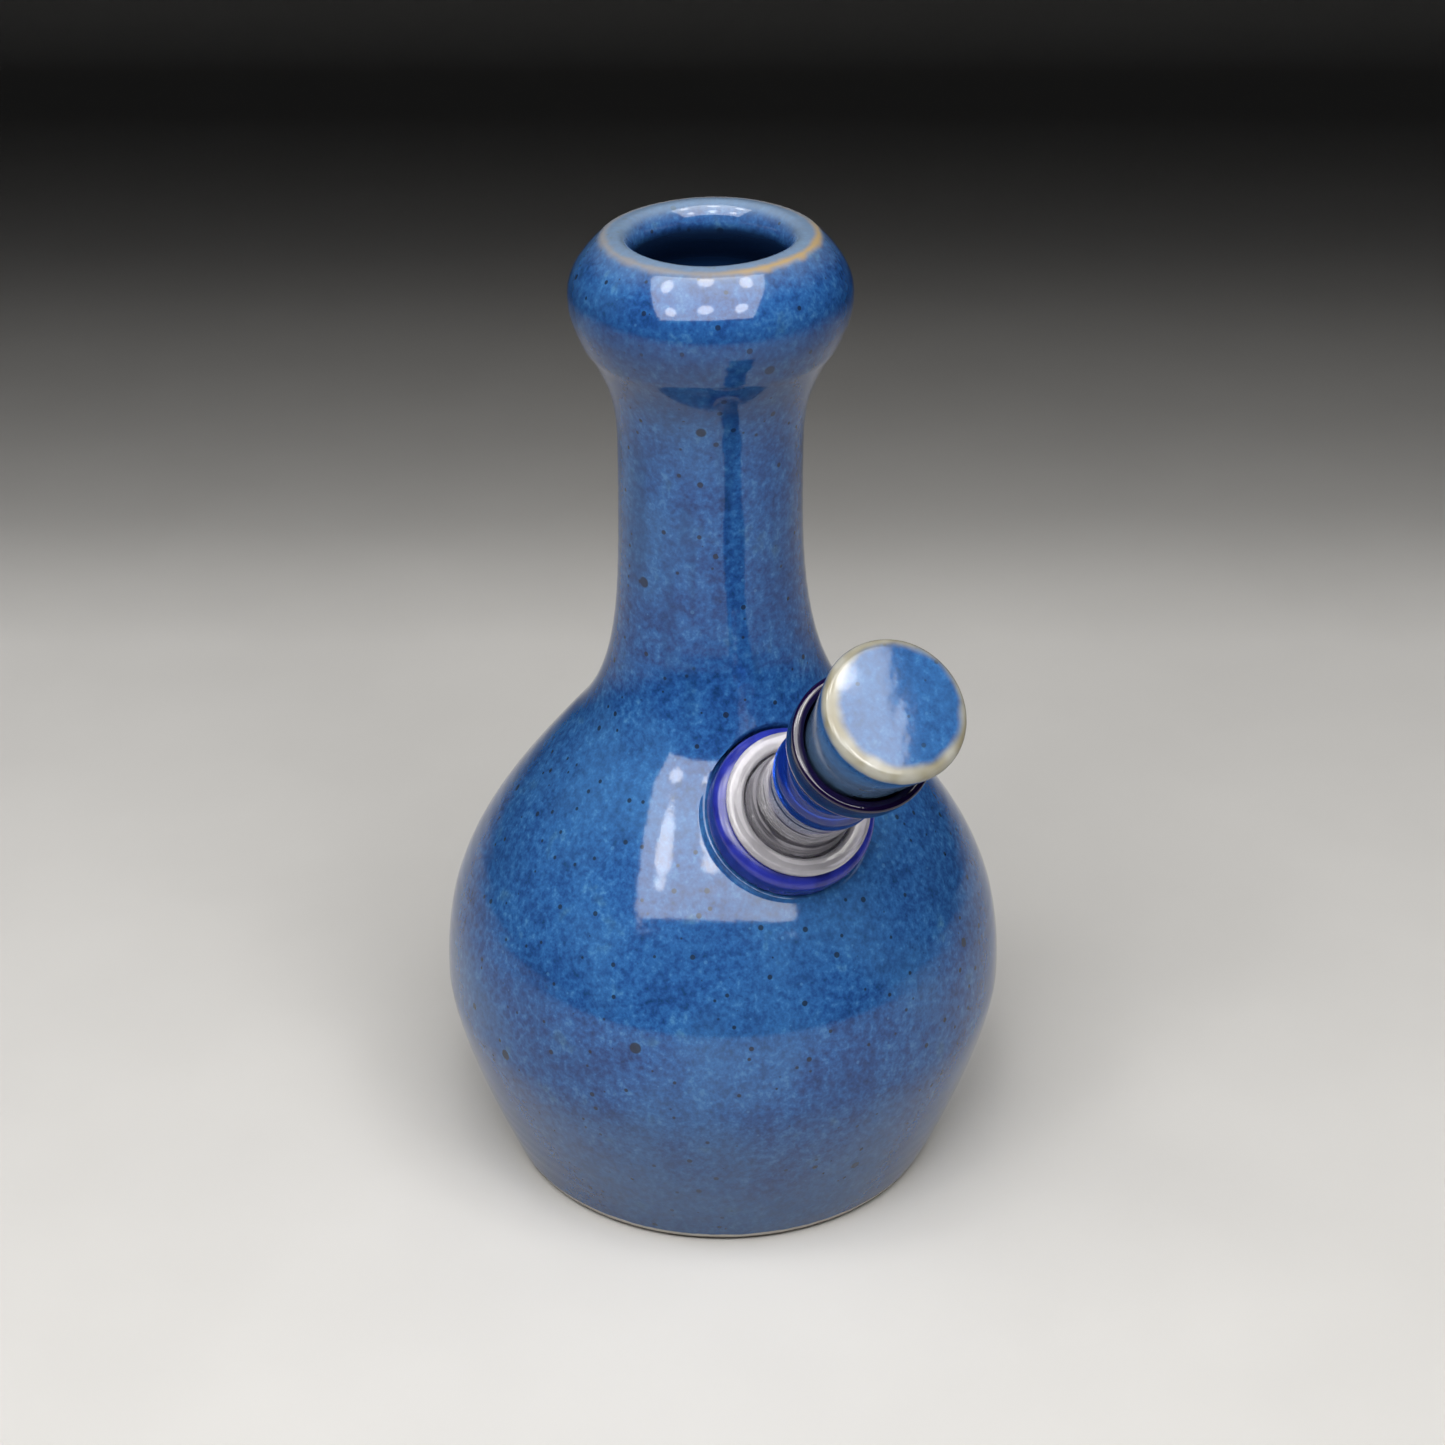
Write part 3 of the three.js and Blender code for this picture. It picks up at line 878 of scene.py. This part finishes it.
# painted contact shade along the foot's lowest edge
CONTACT_PAINTED_SHADE = (0.05, 0.036, 0.026)
CAP_BLUE = (0.030, 0.098, 0.225)
RUBBER_DARK = (0.012, 0.018, 0.19)
RUBBER_LIGHT = (0.020, 0.030, 0.30)
CLEAR_GLASS = (0.93, 0.91, 0.98)
GROUND_GLASS = (0.90, 0.88, 0.96)
BLUE_GLASS = (0.018, 0.090, 0.66)
COBALT_GLASS = (0.007, 0.002, 0.032)
# painted reflection rings in the glass
PAINTED_RING_GREY = (0.07, 0.065, 0.09)
RIM_PAINTED_RING_SHARE = 0.35          # how strongly the rings show on the socket's rim
CLEAR_BELOW = 0.92             # light that goes through glass where nothing is caught in its wall
FLOOR_DARK = (0.555, 0.548, 0.540)
FLOOR_LIGHT = (0.575, 0.568, 0.560)
BLACK_CARD = (0.01, 0.01, 0.01)


def speckles(shader, place, spacing, share, size):
    """Small round specks: a share of the cells of the given spacing, each with its own size."""
    grid = {"Vector": place, "Scale": 1 / spacing, "Randomness": 1.0}
    cells = shader.add("ShaderNodeTexVoronoi", grid)
    parts = shader.add("ShaderNodeSeparateColor", {"Color": cells.outputs["Color"]})
    chosen = shader.math("GREATER_THAN", parts.outputs[0], 1 - share)
    reach = shader.math("MULTIPLY_ADD", parts.outputs[1], size / spacing * 0.8, size / spacing * 0.2)
    near = shader.math("SUBTRACT", reach, cells.outputs["Distance"])
    dot = shader.between(near, 0.0, 0.25 * size / spacing)
    return shader.math("MULTIPLY", chosen, dot)


def blue_glaze(shader, place):
    """The mottled floating-blue glaze: its colour, and its finest mottling for the bump."""
    fine = shader.noise(place, 0.50, detail=2, roughness=0.5)
    medium = shader.noise(place, 1.25, detail=3, roughness=0.55, distortion=0.15)
    patch = shader.noise(place, 6.0, detail=3, roughness=0.55)
    cloud = shader.noise(place, 26, detail=2, roughness=0.5)
    mixed = shader.math("MULTIPLY_ADD", fine, 0.20, shader.math("MULTIPLY", medium, 0.50))
    mixed = shader.math("MULTIPLY_ADD", patch, 0.30, mixed)
    mottle = shader.ramp(mixed, (0.33, DEEP), (0.44, COBALT), (0.55, AZURE), (0.70, PALE_BLUE))
    colour = shader.mix(shader.between(cloud, 0.45, 0.70, 0.0, 0.22), mottle, PALE_BLUE)
    colour = shader.mix(shader.between(cloud, 0.30, 0.46, 0.14, 0.0), colour, DEEP)
    colour = shader.mix(shader.between(patch, 0.62, 0.74, 0.0, 0.30), colour, OLIVE)
    flecks = shader.math("MULTIPLY", speckles(shader, place, 2.2, 0.18, 0.45), 0.45)
    colour = shader.mix(flecks, colour, PALE_BLUE)
    small = speckles(shader, place, 2.4, 0.55, 0.62)
    large = speckles(shader, place, 8.0, 0.50, 1.25)
    specks = shader.math("MULTIPLY", shader.math("MAXIMUM", small, large), 0.88)
    colour = shader.mix(specks, colour, IRON)
    return colour, fine


def flat_radius(shader, place):
    """Distance from the z axis."""
    flat = shader.add("ShaderNodeVectorMath", {0: place, 1: (1, 1, 0)}, operation="MULTIPLY").outputs[0]
    return shader.add("ShaderNodeVectorMath", {0: flat}, operation="LENGTH").outputs["Value"]


def toward(shader, place, degrees):
    """How far a place lies toward a level direction."""
    inputs = {0: place, 1: (*heading(degrees), 0)}
    return shader.add("ShaderNodeVectorMath", inputs, operation="DOT_PRODUCT").outputs["Value"]


def band(shader, height, start, end):
    """Rises from 0 over one stretch of height, and falls back to 0 over a higher one."""
    falling = shader.between(height, *end, 1.0, 0.0)
    return shader.math("MULTIPLY", shader.between(height, *start), falling)


def glaze_material():
    """Glossy blue glaze over the bottle, straw where it breaks on the lip, bare clay at the foot."""
    shader = Shader("floating_blue_glaze")
    place = shader.place()
    colour, fine = blue_glaze(shader, place)
    height = shader.add("ShaderNodeSeparateXYZ", {"Vector": place}).outputs["Z"]
    dx, dy = lean(HEIGHT)
    back_to_axis = {0: place, 1: (-dx, -dy, 0)}
    from_mouth = shader.add("ShaderNodeVectorMath", back_to_axis, operation="ADD").outputs[0]
    radius = flat_radius(shader, from_mouth)
    ragged = shader.noise(place, 3.0, detail=3)

    # Over the lip the glaze is thin and pale, and the pale ash there is partly a painted highlight on
    # the crest.
    # It breaks to straw along the ridge, most toward the port.
    wander = shader.math("MULTIPLY_ADD", ragged, 2.6, height)
    thin_glaze_and_highlight = shader.between(wander, HEIGHT - 3.4, HEIGHT + 1.0)
    outside_ridge = shader.between(radius, LIP_R - 0.2, LIP_R + 1.6, 0.66, 0.22)
    past_throat = shader.between(radius, THROAT_R + 0.3, THROAT_R + 1.8, 0.20, 1.0)
    on_top = shader.math("MULTIPLY", outside_ridge, past_throat)
    colour = shader.mix(shader.math("MULTIPLY", thin_glaze_and_highlight, on_top), colour, ASH)
    off_ridge = shader.math("ABSOLUTE", shader.math("SUBTRACT", radius, LIP_R))
    ridge = shader.between(shader.math("MULTIPLY_ADD", ragged, 1.4, off_ridge), 0.7, 1.9, 1.0, 0.0)
    at_top = shader.between(height, HEIGHT - 2.2, HEIGHT - 0.8)
    bare_side = shader.between(toward(shader, from_mouth, STRAW_DEG), 8.0, 16.5, 0.36, 0.95)
    straw = shader.math("MULTIPLY", shader.math("MULTIPLY", ridge, at_top), bare_side)
    colour = shader.mix(straw, colour, STRAW)
    # Painted shade: near black inside the mouth and the port's bore.
    within = shader.add("ShaderNodeAttribute", attribute_name="inside").outputs["Fac"]
    colour = shader.mix(within, colour, INSIDE_PAINTED_SHADE)

    # Painted shade darkens the glaze under the mouth's bulge and toward the foot. It is also a little
    # darker on the upper bottle, and paler round the belly.
    under = band(shader, height, BULGE_SHADE_START, BULGE_SHADE_END)
    high = shader.between(height, *UPPER_BOTTLE, 0.0, 0.12)
    colour = shader.mix(shader.math("MULTIPLY_ADD", under, 0.36, high), colour, DEEP)
    colour = shader.mix(shader.between(height, *FOOT_SHADE_HEIGHTS, 0.52, 0.05), colour, LOW_PAINTED_SHADE)
    round_belly = band(shader, height, (*BELLY_START, 0.0, 0.07), BELLY_END)
    colour = shader.mix(round_belly, colour, PALE_BLUE)

    # Runs of glaze down the neck.
    runs = shader.noise(shader.place((1, 1, 0.12)), 5.0, detail=2)
    on_neck = band(shader, height, NECK_RUNS_START, NECK_RUNS_END)
    dark_run = shader.math("MULTIPLY", shader.between(runs, 0.56, 0.70, 0.0, 0.35), on_neck)
    colour = shader.mix(dark_run, colour, DEEP)

    # Bare clay at the foot, with painted contact shade in dark brown along its lowest edge.
    edge = shader.math("MULTIPLY_ADD", ragged, 0.6, height)
    bare = shader.between(edge, *BARE_TOP, 1.0, 0.0)
    clay_and_shade = shader.mix(shader.between(edge, *CONTACT_SHADE_TOP), CONTACT_PAINTED_SHADE, CLAY)
    colour = shader.mix(bare, colour, clay_and_shade)

    orange_peel = shader.noise(place, 1.6, detail=1)
    normal = shader.bump(shader.math("MULTIPLY_ADD", fine, 0.25, orange_peel), 0.02, 0.5)
    rough = shader.between(bare, 0, 1, 0.08, 0.75)
    return shader.finish(Base_Color=colour, Roughness=rough, Normal=normal, IOR=1.5)


def stopper_material():
    """Blue glaze that breaks to cream at the edge of the cap, widest toward the front of the pipe."""
    shader = Shader("stopper_glaze")
    place = shader.place()
    colour, _ = blue_glaze(shader, place)
    colour = shader.mix(0.40, colour, CAP_BLUE)
    along = shader.add("ShaderNodeSeparateXYZ", {"Vector": place}).outputs["Z"]
    ragged = shader.noise(place, 4.5, detail=1)
    wander = shader.math("MULTIPLY_ADD", ragged, 1.6, -0.8)
    to_front = toward(shader, place, CREAM_DEG)
    lopsided = shader.math("MULTIPLY_ADD", to_front, 0.085, flat_radius(shader, place))
    edge = shader.between(shader.math("ADD", lopsided, wander), CAP_R - 2.7, CAP_R - 1.0)
    high = shader.between(shader.math("ADD", along, wander), CAP_EDGE - 2.0, CAP_EDGE - 0.5)
    cream = shader.ramp(ragged, (0.40, TAN), (0.66, CREAM))
    creamy = shader.math("MULTIPLY", shader.math("MULTIPLY", edge, high), 0.92)
    colour = shader.mix(creamy, colour, cream)
    side = shader.between(along, CAP_EDGE - 6.0, CAP_EDGE - 2.0, 0.30, 0.0)
    colour = shader.mix(side, colour, ASH)
    normal = shader.bump(shader.noise(place, 1.8, detail=1), 0.03, 0.5)
    return shader.finish(Base_Color=colour, Roughness=0.10, Normal=normal, IOR=1.55)


def rubber_material():
    """Ultramarine rubber with a soft sheen and a fine grain."""
    shader = Shader("ultramarine_rubber")
    place = shader.place()
    cloud = shader.noise(place, 3.0, detail=3)
    colour = shader.ramp(cloud, (0.35, RUBBER_DARK), (0.65, RUBBER_LIGHT))
    rough = shader.between(cloud, 0.3, 0.7, 0.16, 0.24)
    normal = shader.bump(shader.noise(place, 0.35, detail=2), 0.012, 0.4)
    return shader.finish(Base_Color=colour, Roughness=rough, Normal=normal, IOR=1.5)


def glass_material(name, colour, clear, ior=1.5, ground=None, caught=None):
    """Glass with faint draw lines. clear is how much light goes through instead of scattering back.

    ground is the stretch along the stem where the glass is finely ground. Above caught, grey rings are
    painted on as reflections of light caught in the wall. Below it the glass is nearly all clear.
    """
    shader = Shader(name)
    place = shader.place()
    lines = shader.noise(shader.place((1, 1, 0.2)), 1.5, detail=2)
    normal = shader.bump(lines, 0.05, 0.45)
    tint = shader.ramp(lines, (0.3, tuple(0.90 * c for c in colour)), (0.7, colour))
    rough = shader.between(lines, 0.3, 0.7, 0.02, 0.04)
    if ground is not None:
        along = shader.add("ShaderNodeSeparateXYZ", {"Vector": place}).outputs["Z"]
        radius = flat_radius(shader, place)
        above = shader.between(along, ground[0], ground[0] + 0.4)
        below = shader.between(along, ground[1] - 0.4, ground[1], 1.0, 0.0)
        within = shader.between(radius, JOINT_R + 0.4, JOINT_R + 0.8, 1.0, 0.0)
        frosted = shader.math("MULTIPLY", shader.math("MULTIPLY", above, below), within)
        grit = shader.noise(place, 0.25, detail=2)
        frost = shader.between(grit, 0, 1, 0.20, 0.32)
        rough = shader.math("MULTIPLY_ADD", frosted, frost, rough)
        # Painted reflections: grey rings on the slide, fainter on the socket's rim.
        reach = shader.add("ShaderNodeCombineXYZ", {"Z": shader.math("ADD", radius, along)}).outputs[0]
        around = shader.place((0.10, 0.10, 0))
        ringed = shader.add("ShaderNodeVectorMath", {0: around, 1: reach}, operation="ADD").outputs[0]
        rings = shader.noise(ringed, 1.4, detail=2, distortion=0.3)
        high = shader.between(along, caught - 1.5, caught)
        on_rim = shader.between(along, JOINT_TOP - 1.0, JOINT_TOP, 1.0, RIM_PAINTED_RING_SHARE)
        on_slide = shader.between(radius, JOINT_R - 0.6, JOINT_R - 0.2, 1.0, on_rim)
        painted_ring = shader.math("MULTIPLY", shader.between(rings, 0.40, 0.50, 1.0, 0.0), on_slide)
        tint = shader.mix(shader.math("MULTIPLY", painted_ring, high), tint, PAINTED_RING_GREY)
        clear = shader.between(high, 0, 1, CLEAR_BELOW, clear)
    return shader.finish(
        Base_Color=tint, Roughness=rough, Normal=normal, IOR=ior, Transmission_Weight=clear)


def floor_material():
    shader = Shader("pale_floor")
    grain = shader.noise(shader.place(), 40, detail=2)
    colour = shader.ramp(grain, (0.3, FLOOR_DARK), (0.7, FLOOR_LIGHT))
    return shader.finish(Base_Color=colour, Roughness=0.6)


# ======================================================================================
# Stage
# ======================================================================================

def camera():
    """The camera, and the direction from its aim back to it."""
    azimuth = math.radians(CAMERA_AZIMUTH)
    elevation = math.radians(CAMERA_ELEVATION)
    level = math.cos(elevation)
    back = Vector((math.sin(azimuth) * level, -math.cos(azimuth) * level, math.sin(elevation)))
    data = bpy.data.cameras.new("camera")
    data.sensor_width = 36.0
    data.lens = CAMERA_LENS
    data.clip_start = 0.01
    made = bpy.data.objects.new("camera", data)
    made.location = Vector((0, 0, CAMERA_AIM_Z * MM)) + back * CAMERA_DISTANCE * MM
    made.rotation_mode = "QUATERNION"
    made.rotation_quaternion = (-back).to_track_quat("-Z", "Y")
    bpy.context.scene.collection.objects.link(made)
    bpy.context.scene.camera = made
    return back


def panel(name, centre, axes, size, energy, shape="RECTANGLE"):
    """An area light. axes are its width, its height and the way its back faces."""
    data = bpy.data.lights.new(name, "AREA")
    data.shape = shape
    data.size, data.size_y = size
    data.energy = energy
    data.color = LIGHT_COLOUR
    made = bpy.data.objects.new(name, data)
    made.location = centre
    made.rotation_mode = "QUATERNION"
    made.rotation_quaternion = Matrix(axes).transposed().to_quaternion()
    bpy.context.scene.collection.objects.link(made)


def flag(front, right):
    """A black card behind the bottle that shades the far floor. No view and no reflection shows it."""
    place, bottom, top = FLAG
    spots = ((-1, bottom), (1, bottom), (1, top), (-1, top))
    corners = [front * place + right * x + Vector((0, 0, z)) for x, z in spots]
    mesh = bpy.data.meshes.new("studio_flag")
    mesh.from_pydata(corners, [], [(0, 1, 2, 3)])
    card = bpy.data.objects.new("studio_flag", mesh)
    card.visible_camera = False
    card.visible_glossy = False
    card.visible_transmission = False
    bpy.context.scene.collection.objects.link(card)
    shader = Shader("black_card")
    card.data.materials.append(shader.finish(Base_Color=BLACK_CARD, Roughness=0.9))


def stage(back):
    """A softbox with six bulbs that show through its cloth, a black card, and a pale floor."""
    up = Vector((0, 0, 1))
    front = Vector((back.x, back.y, 0)).normalized()
    right = up.cross(front)
    lower = front * PANEL_LOWER[0] + up * PANEL_LOWER[1]
    upper = front * PANEL_UPPER[0] + up * PANEL_UPPER[1]
    rise = (upper - lower).normalized()
    axes = (right, rise, right.cross(rise))
    centre = (lower + upper) / 2 + right * (PANEL_LEFT + PANEL_RIGHT) / 2
    width = PANEL_RIGHT - PANEL_LEFT
    length = (upper - lower).length
    panel("softbox", centre, axes, (width, length), PANEL_ENERGY)
    bulb_size = (BULB_SIZE, BULB_SIZE)
    for row in (-1, 1):
        for column in (-1, 0, 1):
            across = right * column * width * BULB_ACROSS
            along = rise * row * length * BULB_ALONG
            spot = centre + across + along - axes[2] * BULB_BEFORE
            name = "softbox_bulb_%d_%d" % (row + 2, column + 2)
            panel(name, spot, axes, bulb_size, BULB_ENERGY, "DISK")
    world = bpy.data.worlds.new("studio")
    bpy.context.scene.world = world
    world.use_nodes = True
    world.node_tree.nodes["Background"].inputs["Color"].default_value = (*ROOM, 1)
    flag(front, right)
    bpy.ops.mesh.primitive_plane_add(size=6)
    floor = bpy.context.object
    floor.name = "studio_floor"
    floor.data.materials.append(floor_material())


# ======================================================================================
# Assembly
# ======================================================================================

def fit(piece, material, body, node):
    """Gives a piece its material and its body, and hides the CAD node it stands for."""
    piece.data.materials.clear()
    piece.data.materials.append(material)
    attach(piece, body)
    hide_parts(node)


def main():
    back = camera()
    joint = (JOINT_BOTTOM - 1, JOINT_TOP)
    clear = glass_material("clear_glass", CLEAR_GLASS, 0.58, ground=joint, caught=JOINT_TOP - 8)
    ground = glass_material("ground_glass", GROUND_GLASS, 0.74, ground=joint, caught=JOINT_TOP - 1)
    blue = glass_material("blue_glass", BLUE_GLASS, 0.80)
    cobalt = glass_material("cobalt_glass", COBALT_GLASS, 0.15, ior=1.6)
    fit(bottle(), glaze_material(), "vessel", "vessel_body")
    fit(grommet(), rubber_material(), "vessel", "port_grommet")
    fit(downstem_glass(), clear, "downstem", "downstem_socket")
    fit(downstem_pipe(), clear, "downstem", "downstem_tube")
    fit(slide_joint(), ground, "slide", "slide_joint")
    fit(slide_neck(), blue, "slide", "slide_neck")
    fit(slide_bowl(), cobalt, "slide", "slide_bowl")
    fit(stopper(), stopper_material(), "stopper", "stopper")
    stage(back)
    bpy.context.scene.view_settings.view_transform = "Standard"


main()
